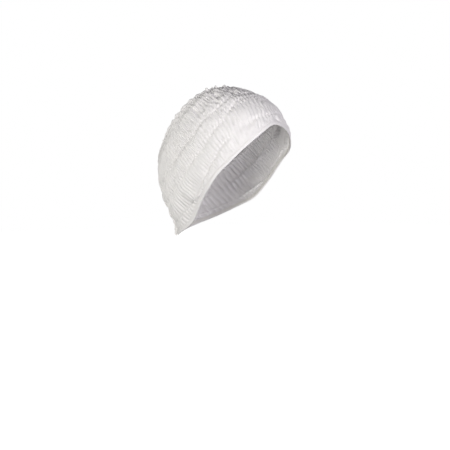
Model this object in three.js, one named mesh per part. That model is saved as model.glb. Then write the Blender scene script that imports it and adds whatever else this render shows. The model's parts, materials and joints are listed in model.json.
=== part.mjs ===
// Disposable pleated headband: a broad ring of gathered nonwoven cloth, kept in the form it takes when
// it is worn. Millimetres, +Z up, the wearer faces -Y and the wearer's left is +X. The origin is the
// middle of the head that the ring goes round.
import * as THREE from "three";

const { clamp, degToRad, euclideanModulo, lerp, radToDeg, smoothstep } = THREE.MathUtils;

// ---- Driving dimensions -----------------------------------------------------------------------------

// The head form that the ring is drawn over. Only the hollow that it leaves is in the model.
const HEAD = {
  halfWidth: 76.5,
  halfDepth: 98.5,
  centreY: 2.5,
  crownHeight: 81,
  crownCentreY: 6.5,
  widthExponent: 2.6,
  depthExponent: 2.5,
  neckHalfWidth: 52,
  neckHalfDepth: 56,
  neckCentreY: 13,
  narrowFrom: 25,
  shallowFrom: 40,
  neckFrom: 122,
};

const BAND_TILT = 45; // degrees that the ring's axis leans back from straight up
const BAND_ROLL = 12; // degrees that the ring is worn down towards the wearer's right

// Lines that run round the ring, as latitudes in degrees about its axis, from the middle of the forehead
// (bearing 0) over the ear (90) to the back of the head (180). Both sides are alike.
const LINES = [
  { bearing: 0, front: -25.7, lowFold: -15.0, midFold: 3.5, highFold: 12.8, back: 46.0 },
  { bearing: 15, front: -28.6, lowFold: -14.3, midFold: 2.9, highFold: 12.8, back: 45.0 },
  { bearing: 30, front: -31.5, lowFold: -14.3, midFold: 1.2, highFold: 12.5, back: 43.5 },
  { bearing: 45, front: -33.6, lowFold: -16.7, midFold: -1.9, highFold: 11.8, back: 42.6 },
  { bearing: 60, front: -35.0, lowFold: -20.0, midFold: -5.0, highFold: 11.0, back: 42.0 },
  { bearing: 75, front: -34.6, lowFold: -23.6, midFold: -6.5, highFold: 10.5, back: 41.9 },
  { bearing: 90, front: -35.0, lowFold: -26.5, midFold: -7.0, highFold: 10.3, back: 41.5 },
  { bearing: 105, front: -34.6, lowFold: -27.8, midFold: -6.6, highFold: 10.4, back: 39.8 },
  { bearing: 120, front: -33.3, lowFold: -26.5, midFold: -5.3, highFold: 10.8, back: 38.0 },
  { bearing: 135, front: -30.4, lowFold: -20.0, midFold: -2.5, highFold: 11.9, back: 37.3 },
  { bearing: 150, front: -20.9, lowFold: -12.5, midFold: 0.5, highFold: 13.0, back: 37.0 },
  { bearing: 165, front: -13.7, lowFold: -7.4, midFold: 2.8, highFold: 13.7, back: 36.4 },
  { bearing: 180, front: -10.8, lowFold: -5.0, midFold: 4.0, highFold: 14.0, back: 36.0 },
];

// Puffs of cloth between those lines: how far each swells over the brow, the ears and the nape. With
// a lean below 1 a puff is fullest towards its front fold, and above 1 towards its back fold.
const PUFFS = [
  { from: "front", to: "lowFold", steps: 3, lean: 0.8, brow: 1.0, leftEar: 2.4, nape: 0.6, rightEar: 0.8 },
  { from: "lowFold", to: "midFold", steps: 4, lean: 0.8, brow: 0.8, leftEar: 4.6, nape: 1.2, rightEar: 2.0 },
  { from: "midFold", to: "highFold", steps: 4, lean: 0.8, brow: 0.8, leftEar: 3.0, nape: 1.2, rightEar: 2.0 },
  { from: "highFold", to: "back", steps: 5, lean: 1.6, brow: 2.4, leftEar: 2.4, nape: 1.6, rightEar: 2.4 },
];

// Slack over the wearer's left temple, where the whole front of the band stands off the head.
const SLACK = { bearing: 62, spread: 27, latitude: -32, reach: 20, lift: 7.2 };

const COLUMNS = 90; // sections round the ring
const WALL = 1.2; // gathered cloth, both plies
const GAP = 0.4; // left between neighbouring pieces
const ELASTIC_THICKNESS = 0.8;
const ELASTIC_WIDTH = 4;
const HEM_WIDTH = 5.5;
const HEM_THICKNESS = 1.6;
const HEM_ROUNDING = 0.8;
const FRONT_ELASTIC_INSET = 0.8; // from the front edge to its elastic
const BACK_ELASTIC_INSET = 7; // from the back edge to its elastic, so that a frill stands behind it

// The frill at the back edge: ripples that fade out across the cloth, and a lip that stands up.
const RIPPLES = 30;
const RIPPLE_HEIGHT = 1.6;
const RIPPLE_REACH = 24;
const LIP_REACH = 9;
const LIP = { brow: 1.6, leftEar: 0.6, nape: 0.8, rightEar: 0.6 };

// The seam that closes the strip into a ring: a narrow fin across the band, with a tail at each edge.
const SEAM_BEARING = -158;
const SEAM_THICKNESS = 1.4;
const SEAM_HEIGHT = 2.2;
const SEAM_TAIL = 1.5;

// Lifts off the head form, counted along its normal.
const ELASTIC_LIFT = 0.5 * GAP;
const CLOTH_LIFT = ELASTIC_LIFT + ELASTIC_THICKNESS + 1.5 * GAP;

// ---- The ring's own axes ----------------------------------------------------------------------------

const tilt = degToRad(BAND_TILT);
const roll = degToRad(BAND_ROLL);
const wearersLeft = new THREE.Vector3(1, 0, 0);
const leaningAxis = new THREE.Vector3(0, Math.sin(tilt), Math.cos(tilt));
const foreheadAxis = new THREE.Vector3(0, -Math.cos(tilt), Math.sin(tilt));
const bandAxis = leaningAxis
  .clone()
  .multiplyScalar(Math.cos(roll))
  .addScaledVector(wearersLeft, -Math.sin(roll));
const sideAxis = wearersLeft
  .clone()
  .multiplyScalar(Math.cos(roll))
  .addScaledVector(leaningAxis, Math.sin(roll));

// The direction from the origin at a bearing round the ring and a latitude about its axis, in degrees.
function directionAt(bearing, latitude) {
  const turn = degToRad(bearing);
  const rise = degToRad(latitude);
  return new THREE.Vector3()
    .addScaledVector(foreheadAxis, Math.cos(rise) * Math.cos(turn))
    .addScaledVector(sideAxis, Math.cos(rise) * Math.sin(turn))
    .addScaledVector(bandAxis, Math.sin(rise));
}

// ---- The head form ----------------------------------------------------------------------------------

// The level section of the head at a height: an ellipse that closes over the crown and eases into the neck.
function headSection(z) {
  const rise = clamp(z / HEAD.crownHeight, 0, 1);
  const crown = (exponent) => (1 - rise ** exponent) ** (1 / exponent);
  const narrow = smoothstep(-z, HEAD.narrowFrom, HEAD.neckFrom);
  const shallow = smoothstep(-z, HEAD.shallowFrom, HEAD.neckFrom);
  const centreY = lerp(HEAD.centreY, HEAD.crownCentreY, rise * rise);
  return {
    halfWidth: crown(HEAD.widthExponent) * lerp(HEAD.halfWidth, HEAD.neckHalfWidth, narrow),
    halfDepth: crown(HEAD.depthExponent) * lerp(HEAD.halfDepth, HEAD.neckHalfDepth, shallow),
    centreY: lerp(centreY, HEAD.neckCentreY, shallow),
  };
}

function isInsideHead(point) {
  if (point.z >= HEAD.crownHeight) return false;
  const section = headSection(point.z);
  const across = point.x / section.halfWidth;
  const along = (point.y - section.centreY) / section.halfDepth;
  return across * across + along * along < 1;
}

// Where a direction from the origin leaves the head, found by halving.
function headPoint(bearing, latitude) {
  const direction = directionAt(bearing, latitude);
  let inner = 0;
  let outer = 2 * HEAD.halfDepth;
  for (let step = 0; step < 30; step += 1) {
    const middle = (inner + outer) / 2;
    if (isInsideHead(direction.clone().multiplyScalar(middle))) inner = middle;
    else outer = middle;
  }
  return direction.multiplyScalar((inner + outer) / 2);
}

// How far the slack over the temple lifts everything at a place off the head.
function slackLift(bearing, latitude) {
  const aside = euclideanModulo(bearing - SLACK.bearing + 180, 360) - 180;
  const near = (distance, width) => Math.exp(-((distance / width) ** 2));
  return SLACK.lift * near(aside, SLACK.spread) * near(latitude - SLACK.latitude, SLACK.reach);
}

// A point that stands off the head form, or off its slack, by a lift along the form's normal.
function liftedPoint(bearing, latitude, lift) {
  const nudge = 1.5; // degrees either side that the normal is taken over
  const east = headPoint(bearing + nudge, latitude).sub(headPoint(bearing - nudge, latitude));
  const north = headPoint(bearing, latitude + nudge).sub(headPoint(bearing, latitude - nudge));
  const normal = east.cross(north).normalize();
  return headPoint(bearing, latitude).addScaledVector(normal, lift + slackLift(bearing, latitude));
}

// ---- Lines, puffs and ripples -----------------------------------------------------------------------

// A named line's latitude at any bearing, as a smooth curve through its table, mirrored at both ends.
function lineAt(name, bearing) {
  const turned = Math.abs(euclideanModulo(bearing + 180, 360) - 180);
  const spacing = LINES[1].bearing - LINES[0].bearing;
  const last = LINES.length - 1;
  const start = Math.min(Math.floor(turned / spacing), last - 1);
  const u = turned / spacing - start;
  const knot = (index) => LINES[index < 0 ? -index : index > last ? 2 * last - index : index][name];
  const [a, b, c, d] = [knot(start - 1), knot(start), knot(start + 1), knot(start + 2)];
  return b + 0.5 * u * (c - a + u * (2 * a - 5 * b + 4 * c - d + u * (3 * (b - c) + d - a)));
}

// A height that changes round the ring, between its values at the brow, the ears and the nape.
function heightAt(heights, bearing) {
  const facing = Math.cos(degToRad(bearing));
  const end = facing > 0 ? heights.brow : heights.nape;
  const ear = Math.sin(degToRad(bearing)) > 0 ? heights.leftEar : heights.rightEar;
  return ear + (end - ear) * facing * facing;
}

// Degrees of latitude that a distance across the cloth takes up at a place on the head.
function degreesFor(distance, bearing, latitude) {
  return radToDeg(distance / headPoint(bearing, latitude).length());
}

// How far the frill lifts the cloth at a distance in from the back edge.
function frillLift(bearing, inset) {
  const wave = 0.5 + 0.5 * Math.sin(degToRad(bearing * RIPPLES));
  const ripple = RIPPLE_HEIGHT * wave * Math.max(0, 1 - inset / RIPPLE_REACH) ** 1.5;
  const lip = heightAt(LIP, bearing) * Math.max(0, 1 - inset / LIP_REACH) ** 2;
  return ripple + lip;
}

// The cloth's rows at a bearing, from the front hem to the back hem: latitude and outer lift.
function clothRows(bearing) {
  const margin = HEM_WIDTH + GAP;
  const ends = {
    front: lineAt("front", bearing) + degreesFor(margin, bearing, lineAt("front", bearing)),
    back: lineAt("back", bearing) - degreesFor(margin, bearing, lineAt("back", bearing)),
  };
  const latitudeOf = (name) => ends[name] ?? lineAt(name, bearing);
  const rows = [];
  PUFFS.forEach((puff, index) => {
    const from = latitudeOf(puff.from);
    const to = latitudeOf(puff.to);
    for (let step = index === 0 ? 0 : 1; step <= puff.steps; step += 1) {
      const u = step / puff.steps;
      const latitude = lerp(from, to, u);
      const swell = heightAt(puff, bearing) * Math.sin(Math.PI * u ** puff.lean);
      const inset = margin + (ends.back - latitude) / degreesFor(1, bearing, latitude);
      rows.push({ latitude, lift: CLOTH_LIFT + WALL + swell + frillLift(bearing, inset) });
    }
  });
  return rows;
}

// ---- Making solids ----------------------------------------------------------------------------------

// A closed mesh through a run of like sections, each a list of points that goes round once. A ring joins
// its last section to its first, and a bar has its two ends closed.
function loft(sections, isRing) {
  const size = sections[0].length;
  const positions = sections.flat().flatMap((point) => point.toArray());
  const index = [];
  const spans = isRing ? sections.length : sections.length - 1;
  for (let i = 0; i < spans; i += 1) {
    const here = i * size;
    const next = ((i + 1) % sections.length) * size;
    for (let j = 0; j < size; j += 1) {
      const k = (j + 1) % size;
      index.push(here + j, next + j, next + k, here + j, next + k, here + k);
    }
  }
  if (!isRing) {
    const end = (sections.length - 1) * size;
    for (let j = 1; j < size - 1; j += 1) {
      index.push(0, j, j + 1, end, end + j + 1, end + j);
    }
  }
  const geometry = new THREE.BufferGeometry();
  geometry.setAttribute("position", new THREE.Float32BufferAttribute(positions, 3));
  geometry.setIndex(index);
  geometry.computeVertexNormals();
  return geometry;
}

// A ring whose section is worked out at each bearing in turn.
function ringOf(sectionAt) {
  const sections = [];
  for (let column = 0; column < COLUMNS; column += 1) {
    sections.push(sectionAt((360 * column) / COLUMNS));
  }
  return loft(sections, true);
}

function piece(name, geometry, material) {
  const mesh = new THREE.Mesh(geometry, material);
  mesh.name = name;
  return mesh;
}

// ---- Pieces -----------------------------------------------------------------------------------------

function clothBand() {
  return ringOf((bearing) => {
    const rows = clothRows(bearing);
    const outer = rows.map((row) => liftedPoint(bearing, row.latitude, row.lift));
    const inner = rows.map((row) => liftedPoint(bearing, row.latitude, row.lift - WALL));
    return [...outer, ...inner.reverse()];
  });
}

// The six corners of a hem's section, as a distance in from the free edge and a height over its inner face.
const HEM_SECTION = [
  { inset: 0, height: HEM_THICKNESS / 2 },
  { inset: HEM_ROUNDING, height: HEM_THICKNESS },
  { inset: HEM_WIDTH - HEM_ROUNDING, height: HEM_THICKNESS },
  { inset: HEM_WIDTH, height: HEM_THICKNESS / 2 },
  { inset: HEM_WIDTH - HEM_ROUNDING, height: 0 },
  { inset: HEM_ROUNDING, height: 0 },
];

// The front hem lies taut and smooth.
function frontHem() {
  return ringOf((bearing) => {
    const edge = lineAt("front", bearing);
    return HEM_SECTION.map(({ inset, height }) =>
      liftedPoint(bearing, edge + degreesFor(inset, bearing, edge), CLOTH_LIFT + height),
    );
  });
}

// The back hem ripples and stands up in a frill.
function backHem() {
  return ringOf((bearing) => {
    const edge = lineAt("back", bearing);
    return HEM_SECTION.map(({ inset, height }) =>
      liftedPoint(
        bearing,
        edge - degreesFor(inset, bearing, edge),
        CLOTH_LIFT + height + frillLift(bearing, inset),
      ),
    ).reverse();
  });
}

// A flat elastic tape inside the ring. Inward is 1 from the front edge and -1 from the back edge.
function elasticTape(line, inward, nearInset) {
  const corners = [
    { inset: nearInset, lift: ELASTIC_LIFT + ELASTIC_THICKNESS },
    { inset: nearInset + ELASTIC_WIDTH, lift: ELASTIC_LIFT + ELASTIC_THICKNESS },
    { inset: nearInset + ELASTIC_WIDTH, lift: ELASTIC_LIFT },
    { inset: nearInset, lift: ELASTIC_LIFT },
  ];
  return ringOf((bearing) => {
    const edge = lineAt(line, bearing);
    const section = corners.map(({ inset, lift }) =>
      liftedPoint(bearing, edge + inward * degreesFor(inset, bearing, edge), lift),
    );
    return inward > 0 ? section : section.reverse();
  });
}

// The fin stands on the outer face, from a tail before the front edge to a tail past the back edge.
function joiningSeam() {
  const front = lineAt("front", SEAM_BEARING);
  const back = lineAt("back", SEAM_BEARING);
  const hemTop = CLOTH_LIFT + HEM_THICKNESS;
  const frontRow = (inset) => ({
    latitude: front + degreesFor(inset, SEAM_BEARING, front),
    lift: hemTop,
  });
  const backRow = (inset) => ({
    latitude: back - degreesFor(inset, SEAM_BEARING, back),
    lift: hemTop + frillLift(SEAM_BEARING, Math.max(0, inset)),
  });
  const rows = [
    frontRow(-SEAM_TAIL),
    frontRow(0),
    frontRow(HEM_WIDTH),
    ...clothRows(SEAM_BEARING).slice(1, -1),
    backRow(HEM_WIDTH),
    backRow(HEM_ROUNDING),
    backRow(-SEAM_TAIL),
  ];
  const sections = rows.map(({ latitude, lift }) => {
    const radius = headPoint(SEAM_BEARING, latitude).length();
    const around = radius * Math.cos(degToRad(latitude));
    const half = radToDeg(SEAM_THICKNESS / 2 / around);
    const foot = lift + 2 * GAP;
    const top = foot + SEAM_HEIGHT;
    return [
      liftedPoint(SEAM_BEARING + half, latitude, foot),
      liftedPoint(SEAM_BEARING + half, latitude, top),
      liftedPoint(SEAM_BEARING - half, latitude, top),
      liftedPoint(SEAM_BEARING - half, latitude, foot),
    ];
  });
  return loft(sections, false);
}

// ---- Finishes and assembly --------------------------------------------------------------------------

const nonwoven = new THREE.MeshStandardMaterial({ color: 0xeceaec, roughness: 0.85, metalness: 0 });
const hemCloth = new THREE.MeshStandardMaterial({ color: 0xf4f2f4, roughness: 0.75, metalness: 0 });
const elastic = new THREE.MeshStandardMaterial({ color: 0xf0eeea, roughness: 0.65, metalness: 0 });

const headband = new THREE.Group();
headband.add(piece("cloth_band", clothBand(), nonwoven));
headband.add(piece("front_hem", frontHem(), hemCloth));
headband.add(piece("back_hem", backHem(), nonwoven));
headband.add(piece("front_elastic", elasticTape("front", 1, FRONT_ELASTIC_INSET), elastic));
headband.add(piece("back_elastic", elasticTape("back", -1, BACK_ELASTIC_INSET), elastic));
headband.add(piece("joining_seam", joiningSeam(), hemCloth));

export default headband;
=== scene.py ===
"""Disposable pleated headband, in the form it keeps when it is worn: an open ring of gathered nonwoven
cloth with a taut face hem, a frilled crown hem, two elastics inside it and the seam that closes it.

Laid out as an add-on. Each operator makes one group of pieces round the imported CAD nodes.
"""

import functools
import json
import math

import bmesh
import bpy
import numpy as np
from bpy.props import FloatProperty, FloatVectorProperty, IntProperty, PointerProperty
from mathutils import Matrix, Vector, noise
from mathutils.bvhtree import BVHTree


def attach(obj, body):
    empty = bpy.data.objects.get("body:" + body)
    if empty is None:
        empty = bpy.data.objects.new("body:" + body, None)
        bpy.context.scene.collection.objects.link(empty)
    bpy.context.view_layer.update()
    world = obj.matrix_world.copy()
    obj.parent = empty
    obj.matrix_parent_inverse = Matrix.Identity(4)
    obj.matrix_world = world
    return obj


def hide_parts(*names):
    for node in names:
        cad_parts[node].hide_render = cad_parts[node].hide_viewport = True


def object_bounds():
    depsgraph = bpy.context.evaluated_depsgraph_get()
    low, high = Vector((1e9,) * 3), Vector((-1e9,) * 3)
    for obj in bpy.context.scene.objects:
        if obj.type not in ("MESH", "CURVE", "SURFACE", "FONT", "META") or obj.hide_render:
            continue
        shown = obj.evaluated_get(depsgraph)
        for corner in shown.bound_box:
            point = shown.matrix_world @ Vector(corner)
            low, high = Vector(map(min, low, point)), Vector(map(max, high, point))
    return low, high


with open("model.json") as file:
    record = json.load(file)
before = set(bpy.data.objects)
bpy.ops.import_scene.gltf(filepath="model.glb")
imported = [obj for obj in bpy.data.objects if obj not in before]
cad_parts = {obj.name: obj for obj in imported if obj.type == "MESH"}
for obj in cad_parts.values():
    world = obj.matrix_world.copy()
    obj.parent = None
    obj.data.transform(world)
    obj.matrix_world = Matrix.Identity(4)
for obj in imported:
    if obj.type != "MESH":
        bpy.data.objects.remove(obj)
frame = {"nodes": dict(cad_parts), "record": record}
CAD_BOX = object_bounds()

bl_info = {
    "name": "Disposable Pleated Headband",
    "version": (1, 0, 0),
    "blender": (4, 5, 0),
    "location": "3D View > Sidebar > Headband",
    "description": "Makes a worn nonwoven headband piece by piece round its CAD model",
    "category": "Object",
}

MM = 0.001

# ---- The ring as the CAD model has it ---------------------------------------------------------------

CAD_COLUMNS = 90  # sections round each CAD ring
STATIONS = 180  # places round the ring where its face is read
COLUMNS = 800  # columns of the finished cloth
HARMONICS = 20  # the finest wave round the ring that is kept from the CAD's facets
HEM_EDGE = 0.9  # degrees in from a hem, where the cloth's own face starts
TUCK_INSETS = (2.9, 4.5)  # millimetres in from a hem's free edge, where the cloth runs under it
TUCK_PLEATS = ((-0.2, -0.1), (4.1, 4.2))  # the tucks' places, counted in pleats
TUCK_HEIGHT = 0.62  # millimetres over the hem's inner face, where the cloth ends in the hem
TUCK_SLOPE = (0.4, 0.5)  # part of the cloth's own height, and millimetres more, where it comes out
CINCH = 9.0  # millimetres in from the crown edge, where its elastic draws the cloth in
CROWDING = 0.06  # part of a pleat that its rows shift by, to crowd them beside the folds

# Lengthwise folds, as latitudes in degrees about the ring's axis, from the middle of the forehead
# (bearing 0) over the ears (90) to the back of the head (180). Both sides are alike.
FOLD_BEARINGS = (0, 15, 30, 45, 60, 75, 90, 105, 120, 135, 150, 165, 180)
FOLDS = {
    "low": (-15.0, -14.3, -14.3, -16.7, -20.0, -23.6, -26.5, -27.8, -26.5, -20.0, -12.5, -7.4, -5.0),
    "mid": (3.5, 2.9, 1.2, -1.9, -5.0, -6.5, -7.0, -6.6, -5.3, -2.5, 0.5, 2.8, 4.0),
    "high": (12.8, 12.8, 12.5, 11.8, 11.0, 10.5, 10.3, 10.4, 10.8, 11.9, 13.0, 13.7, 14.0),
}

# Rows of cloth between the front hem, those folds and the back hem.
PLEAT_ROWS = (11, 14, 13, 18)

# How much of the swell between folds is kept round the ring: most of it over the forehead, little at
# the back of the head, where the cloth lies close. Negative bearings are on the wearer's right.
SWELL_BEARINGS = (-180, -140, -85, -35, 55, 110, 145)
SWELL_KEPT = (0.12, 0.12, 0.45, 0.8, 1.0, 0.5, 0.15)


def ring_axes():
    """The ring's own axis, its forehead direction and its wearer's-left direction."""
    mounts = frame["record"]["mounts"]
    head = next(mount for mount in mounts if mount["name"] == "head")
    axis = -np.array(head["axis"], dtype=float)
    axis /= np.linalg.norm(axis)
    forehead = np.array((0.0, -axis[2], axis[1]))
    forehead /= np.linalg.norm(forehead)
    return axis, forehead, np.cross(axis, forehead)


AXIS, FOREHEAD, SIDE = ring_axes()


def directions(bearing, latitude):
    """Unit directions from the origin at bearings round the ring and latitudes about its axis."""
    level = np.cos(latitude)
    ahead = (level * np.cos(bearing))[..., None] * FOREHEAD
    aside = (level * np.sin(bearing))[..., None] * SIDE
    return ahead + aside + np.sin(latitude)[..., None] * AXIS


def bearing_and_latitude(points):
    """The bearing and latitude of each of some points, in radians."""
    ahead, aside, along = points @ FOREHEAD, points @ SIDE, points @ AXIS
    return np.arctan2(aside, ahead), np.arctan2(along, np.hypot(ahead, aside))


def turned_degrees(bearing):
    """Bearings as degrees from -180 to 180."""
    return np.degrees(np.mod(bearing + math.pi, 2 * math.pi) - math.pi)


def around(count):
    """Evenly spaced bearings round the whole ring, in radians."""
    return np.arange(count) * 2 * math.pi / count


def smooth_round(values, count=COLUMNS):
    """Values at even bearings, as a smooth closed curve read at count bearings."""
    waves = np.fft.rfft(values, axis=-1)
    keep = np.arange(waves.shape[-1])
    waves = waves * np.exp(-((keep / HARMONICS) ** 4))
    room = np.zeros(values.shape[:-1] + (count // 2 + 1,), dtype=complex)
    kept = min(waves.shape[-1], room.shape[-1])
    room[..., :kept] = waves[..., :kept]
    return np.fft.irfft(room, count, axis=-1) * (count / values.shape[-1])


def fold_line(name, bearings):
    """A fold's latitude at some bearings, in radians, as a smooth curve through its table."""
    turned = np.abs(turned_degrees(bearings))
    spacing = FOLD_BEARINGS[1] - FOLD_BEARINGS[0]
    last = len(FOLD_BEARINGS) - 1
    start = np.minimum(turned // spacing, last - 1).astype(int)
    u = turned / spacing - start
    table = np.array(FOLDS[name])
    a, b, c, d = (table[last - np.abs(last - np.abs(start + step))] for step in (-1, 0, 1, 2))
    curve = b + 0.5 * u * (c - a + u * (2 * a - 5 * b + 4 * c - d + u * (3 * (b - c) + d - a)))
    return np.radians(curve)


def node_points(node):
    """The corners of a CAD node's mesh, in metres."""
    mesh = frame["nodes"][node].data
    points = np.empty(len(mesh.vertices) * 3)
    mesh.vertices.foreach_get("co", points)
    return points.reshape(-1, 3)


def mesh_tree(meshes):
    """A tree to cast rays at, of the faces of some meshes."""
    corners, faces = [], []
    for mesh in meshes:
        first = len(corners)
        corners.extend(vertex.co.copy() for vertex in mesh.vertices)
        faces.extend([first + index for index in face.vertices] for face in mesh.polygons)
    return BVHTree.FromPolygons(corners, faces)


def outer_reach(tree, bearings, latitudes):
    """How far out the faces lie at each bearing and latitude, and nan where there are none."""
    heading = directions(bearings, latitudes)
    start = 3 * max(abs(value) for corner in CAD_BOX for value in corner)
    reach = np.full(bearings.shape, np.nan)
    for index in np.ndindex(bearings.shape):
        way = Vector(heading[index])
        hit = tree.ray_cast(way * start, -way)[0]
        if hit is not None:
            reach[index] = hit.length
    return reach


def filled_round(reach, bearings):
    """Fills the gaps in rows of reaches from their neighbours round the ring."""
    for row in reach:
        lost = np.isnan(row)
        if lost.any():
            row[lost] = np.interp(bearings[lost], bearings[~lost], row[~lost], period=2 * math.pi)
    return reach


def section_corners(node):
    """A CAD ring's corners, gathered by the section they belong to."""
    points = np.unique(np.round(node_points(node), 7), axis=0)
    bearing, latitude = bearing_and_latitude(points)
    column = np.round(bearing / (2 * math.pi) * CAD_COLUMNS).astype(int) % CAD_COLUMNS
    return [(points[column == k], latitude[column == k]) for k in range(CAD_COLUMNS)]


def unit(vectors):
    """Vectors at a length of 1."""
    return vectors / np.linalg.norm(vectors, axis=-1, keepdims=True)


def steps_along(points):
    """The distance from each point, or row of points, to the next."""
    return np.linalg.norm(np.diff(points, axis=0), axis=-1)


def steps_round(points):
    """The distance from each point of a closed run to the next."""
    return np.linalg.norm(np.roll(points, -1, axis=0) - points, axis=-1)


class Rail:
    """The run of one narrow CAD ring: its free edge, its inner edge and the way out of the head."""

    def __init__(self, node, free_side):
        free, inner, out = [], [], []
        for points, latitude in section_corners(node):
            order = np.argsort(latitude * free_side)
            far, near = points[order[-1]], points[order[0]]
            across = unit(near - far)
            middle = points.mean(axis=0)
            tangent = unit(np.cross(AXIS, middle))
            normal = unit(np.cross(tangent, across)) * free_side
            height = (points - middle) @ normal
            base = far - normal * ((far - middle) @ normal - height.min())
            foot = near - normal * ((near - middle) @ normal - height.min())
            free.append(base)
            inner.append(foot)
            out.append(normal)
        self.free = self._round(free)
        self.inner = self._round(inner)
        self.out = unit(self._round(out))
        self.across = self.inner - self.free
        self.width = np.linalg.norm(self.across, axis=-1, keepdims=True)
        self.across = self.across / self.width

    @staticmethod
    def _round(points):
        return smooth_round(np.array(points).T).T

    def at(self, inset, height):
        """Points at a distance in from the free edge and a height over the ring's inner face."""
        return self.free + self.across * inset + self.out * height

    def height_of(self, points):
        """How high some points, one for each column, lie over the ring's inner face."""
        return ((points - self.free) * self.out).sum(axis=-1, keepdims=True)


class Cloth:
    """The broad band's own face, between the hems, with its folds, and the tucks under the hems."""

    def __init__(self):
        self.front_hem = Rail("front_hem", -1)
        self.back_hem = Rail("back_hem", 1)
        self.bearing = around(COLUMNS)
        stations = around(STATIONS)
        front = smooth_round(self._hem_latitude("front_hem", max), STATIONS)
        back = smooth_round(self._hem_latitude("back_hem", min), STATIONS)
        lines = [front, *(fold_line(name, stations) for name in FOLDS), back]
        latitude = [front]
        self.pleat = [0.0]
        for index, rows in enumerate(PLEAT_ROWS):
            for row in range(1, rows + 1):
                part = row / rows
                part -= CROWDING * math.sin(2 * math.pi * part)
                latitude.append(lines[index] + (lines[index + 1] - lines[index]) * part)
                self.pleat.append(index + part)
        self.pleat = np.array(self.pleat)
        latitude = np.array(latitude)
        margin = math.radians(HEM_EDGE)
        read_at = np.clip(latitude, front + margin, back - margin)
        bearings = np.broadcast_to(stations, latitude.shape)
        tree = mesh_tree([frame["nodes"]["cloth_band"].data])
        reach = filled_round(outer_reach(tree, bearings, read_at), stations)
        self.latitude = smooth_round(latitude)
        self.reach = self._calm(self._soften(smooth_round(reach)))
        bearings = np.broadcast_to(self.bearing, self.latitude.shape)
        self.face = directions(bearings, self.latitude) * self.reach[..., None]
        self._add_tucks()
        self.out = self._normals()
        self.across = np.vstack([np.zeros(COLUMNS), np.cumsum(steps_along(self.face), axis=0)])
        self.to_back = self.across[-1] - self.across

    @staticmethod
    def _hem_latitude(node, pick):
        return np.array([pick(latitude) for _, latitude in section_corners(node)])

    def _soften(self, reach):
        """Rounds the facets between folds, and leaves the folds themselves sharp."""
        folds = np.cumsum((0,) + PLEAT_ROWS)
        for _ in range(3):
            rounded = reach.copy()
            rounded[1:-1] = (reach[:-2] + 2 * reach[1:-1] + reach[2:]) / 4
            rounded[folds] = reach[folds]
            reach = rounded
        return reach

    def _calm(self, reach):
        """Flattens the swell between folds where the cloth lies close to the head."""
        level = reach.copy()
        for _ in range(60):
            level[1:-1] = (level[:-2] + 2 * level[1:-1] + level[2:]) / 4
        turned = turned_degrees(self.bearing)
        kept = np.interp(turned, SWELL_BEARINGS, SWELL_KEPT, period=360)
        return level + (reach - level) * kept

    def _add_tucks(self):
        """Carries the cloth on under both hems."""
        self.front_level = self.front_hem.height_of(self.face[0])
        self.back_level = self.back_hem.height_of(self.face[-1])
        first = self._tuck(self.front_hem, self.front_level)
        last = self._tuck(self.back_hem, self.back_level)
        self.face = np.concatenate([first, self.face, last[::-1]])
        self.pleat = np.concatenate([TUCK_PLEATS[0], self.pleat, TUCK_PLEATS[1]])

    @staticmethod
    def _tuck(hem, level):
        inner, outer = TUCK_INSETS
        share, more = TUCK_SLOPE
        return [hem.at(inner * MM, TUCK_HEIGHT * MM), hem.at(outer * MM, share * level + more * MM)]

    def _normals(self):
        eastward = np.roll(self.face, -1, axis=1) - np.roll(self.face, 1, axis=1)
        northward = np.gradient(self.face, axis=0)
        normal = unit(np.cross(eastward, northward))
        for _ in range(2):
            padded = np.concatenate([normal[:1], normal, normal[-1:]])
            normal = unit(padded[:-2] + 2 * padded[1:-1] + padded[2:])
        return normal


@functools.cache
def band():
    """The broad band's face, worked out once."""
    return Cloth()


# ---- Folds, gathers and creases ---------------------------------------------------------------------

RING_RADIUS = 85.0  # millimetres, of the round that noise is laid on


def unevenness(bearing, across, around_size, across_size, seed, octaves=1):
    """Smooth noise from about -1 to 1 that closes round the ring, in patches of given sizes in mm."""
    bearing, across = np.broadcast_arrays(bearing, across)
    x = np.cos(bearing) * RING_RADIUS / around_size
    y = np.sin(bearing) * RING_RADIUS / around_size
    z = across / across_size
    value = np.empty(bearing.shape)
    shift = 19.7 * seed
    for index in np.ndindex(bearing.shape):
        spot = Vector((x[index] + shift, y[index] - shift, z[index] + 0.37 * shift))
        total = noise.noise(spot)
        if octaves > 1:
            total += 0.5 * noise.noise(spot * 2.03)
        value[index] = total
    return value


def eased(low, high, value):
    """0 below low, 1 above high, and a smooth rise between."""
    u = np.clip((value - low) / (high - low), 0, 1)
    return u * u * (3 - 2 * u)


def bell(distance, width):
    """1 at no distance, falling to almost 0 at twice the width."""
    return np.exp(-((distance / width) ** 2))


# ---- Making meshes ----------------------------------------------------------------------------------


def add_grid(bm, points, flat, closed_round, closed_across):
    """Adds a grid bent through points, which has a row for each line along it.

    flat is the cloth's width and length in millimetres, which its UV map is laid out in.
    """
    rows, columns = points.shape[:2]
    across = rows if closed_across else rows - 1
    along = columns if closed_round else columns - 1
    made = bmesh.ops.create_grid(bm, x_segments=along, y_segments=across, size=0.5, calc_uvs=True)
    layer = bm.loops.layers.uv["cloth"]
    faces = set()
    for vertex in made["verts"]:
        faces.update(vertex.link_faces)
    for face in faces:
        for loop in face.loops:
            u, v = loop[layer].uv
            loop[layer].uv = (u * flat[1], v * flat[0])
    for vertex in made["verts"]:
        column = round((vertex.co.x + 0.5) * along) % columns
        row = round((vertex.co.y + 0.5) * across) % rows
        vertex.co = points[row, column]


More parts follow.
